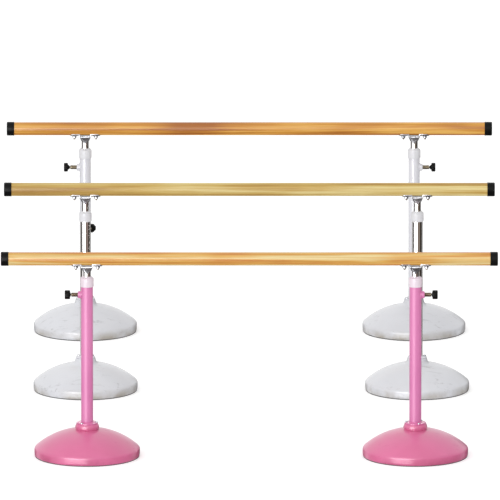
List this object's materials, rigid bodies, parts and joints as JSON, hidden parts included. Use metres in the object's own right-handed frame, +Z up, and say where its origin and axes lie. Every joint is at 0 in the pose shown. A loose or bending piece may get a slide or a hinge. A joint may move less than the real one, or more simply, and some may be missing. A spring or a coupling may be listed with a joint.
{
  "type": "free-standing ballet barre set",
  "caption": "Rows of free-standing ballet barres: varnished wooden bars with black end caps on telescopic posts with pull-pin height stops and heavy domed bases.",
  "frame": {"origin": "on the floor, in the middle of the set's footprint", "axes": "+X along the bars to the viewer's right, +Y from the front row to the rear row, +Z up"},
  "size_m": [1.9, 2.672, 0.8353],
  "materials": {
    "front_wood": "varnished",
    "pink_paint": "gloss",
    "rose_cast_iron": "gloss paint",
    "pale_pink_plastic": "gloss",
    "rose_paint": "gloss",
    "middle_wood": "varnished",
    "chrome": "polished",
    "white_cast_iron": "gloss paint",
    "white_plastic": "gloss",
    "white_flange_paint": "gloss",
    "rear_wood": "varnished",
    "white_paint": "gloss",
    "black_plastic": "satin",
    "zinc_plate": "zinc plated",
    "turned_steel": "turned",
    "rubber": "matt"
  },
  "bodies": {
    "front_stands": {"front_post_left": "pink_paint", "front_post_right": "pink_paint", "front_post_flanges": "rose_paint", "front_flange_screws": "zinc_plate", "front_base_left": "rose_cast_iron", "front_base_right": "rose_cast_iron", "front_foot_rings": "rubber", "front_collars": "pale_pink_plastic", "front_pin_barrels": "turned_steel"},
    "front_barre": {"front_bar": "front_wood", "front_end_caps": "black_plastic", "front_saddle_brackets": "zinc_plate", "front_saddle_studs": "turned_steel", "front_saddle_nuts": "zinc_plate", "front_inner_tube_left": "chrome", "front_inner_tube_right": "chrome"},
    "front_plunger_left": {"front_pull_pin_left": "turned_steel", "front_knob_left": "black_plastic"},
    "front_plunger_right": {"front_pull_pin_right": "turned_steel", "front_knob_right": "black_plastic"},
    "middle_stands": {"middle_post_left": "chrome", "middle_post_right": "chrome", "middle_post_flanges": "white_flange_paint", "middle_flange_screws": "zinc_plate", "middle_base_left": "white_cast_iron", "middle_base_right": "white_cast_iron", "middle_foot_rings": "rubber", "middle_collars": "white_plastic", "middle_pin_barrels": "turned_steel"},
    "middle_barre": {"middle_bar": "middle_wood", "middle_end_caps": "black_plastic", "middle_saddle_brackets": "zinc_plate", "middle_saddle_studs": "turned_steel", "middle_saddle_nuts": "zinc_plate", "middle_inner_tube_left": "chrome", "middle_inner_tube_right": "chrome"},
    "middle_plunger_left": {"middle_pull_pin_left": "turned_steel", "middle_knob_left": "black_plastic"},
    "middle_plunger_right": {"middle_pull_pin_right": "turned_steel", "middle_knob_right": "black_plastic"},
    "rear_stands": {"rear_post_left": "white_paint", "rear_post_right": "white_paint", "rear_post_flanges": "white_flange_paint", "rear_flange_screws": "zinc_plate", "rear_base_left": "white_cast_iron", "rear_base_right": "white_cast_iron", "rear_foot_rings": "rubber", "rear_collars": "white_plastic", "rear_pin_barrels": "turned_steel"},
    "rear_barre": {"rear_bar": "rear_wood", "rear_end_caps": "black_plastic", "rear_saddle_brackets": "zinc_plate", "rear_saddle_studs": "turned_steel", "rear_saddle_nuts": "zinc_plate", "rear_inner_tube_left": "chrome", "rear_inner_tube_right": "chrome"},
    "rear_plunger_left": {"rear_pull_pin_left": "turned_steel", "rear_knob_left": "black_plastic"},
    "rear_plunger_right": {"rear_pull_pin_right": "turned_steel", "rear_knob_right": "black_plastic"}
  },
  "joints": [
    {"name": "middle_row_spacing", "type": "slide", "parent": "front_stands", "child": "middle_stands", "axis": [0, 1, 0], "range_m": [-0.6, 0.5]},
    {"name": "rear_row_spacing", "type": "slide", "parent": "middle_stands", "child": "rear_stands", "axis": [0, 1, 0], "range_m": [-0.45, 0.6]},
    {"name": "front_height", "type": "slide", "parent": "front_stands", "child": "front_barre", "axis": [0, 0, 1], "range_m": [0, 0.3]},
    {"name": "front_pull_left", "type": "slide", "parent": "front_stands", "child": "front_plunger_left", "axis": [-1, 0, 0], "range_m": [0, 0.01], "stiffness_N_per_m": 1000, "springref_m": -0.005},
    {"name": "front_pull_right", "type": "slide", "parent": "front_stands", "child": "front_plunger_right", "axis": [1, 0, 0], "range_m": [0, 0.01], "stiffness_N_per_m": 1000, "springref_m": -0.005},
    {"name": "middle_height", "type": "slide", "parent": "middle_stands", "child": "middle_barre", "axis": [0, 0, 1], "range_m": [0, 0.3]},
    {"name": "middle_pull_left", "type": "slide", "parent": "middle_stands", "child": "middle_plunger_left", "axis": [0.309, 0.9511, 0], "range_m": [0, 0.01], "stiffness_N_per_m": 1000, "springref_m": -0.005},
    {"name": "middle_pull_right", "type": "slide", "parent": "middle_stands", "child": "middle_plunger_right", "axis": [0, 1, 0], "range_m": [0, 0.01], "stiffness_N_per_m": 1000, "springref_m": -0.005},
    {"name": "rear_height", "type": "slide", "parent": "rear_stands", "child": "rear_barre", "axis": [0, 0, 1], "range_m": [0, 0.3]},
    {"name": "rear_pull_left", "type": "slide", "parent": "rear_stands", "child": "rear_plunger_left", "axis": [-1, 0, 0], "range_m": [0, 0.01], "stiffness_N_per_m": 1000, "springref_m": -0.005},
    {"name": "rear_pull_right", "type": "slide", "parent": "rear_stands", "child": "rear_plunger_right", "axis": [1, 0, 0], "range_m": [0, 0.01], "stiffness_N_per_m": 1000, "springref_m": -0.005}
  ]
}
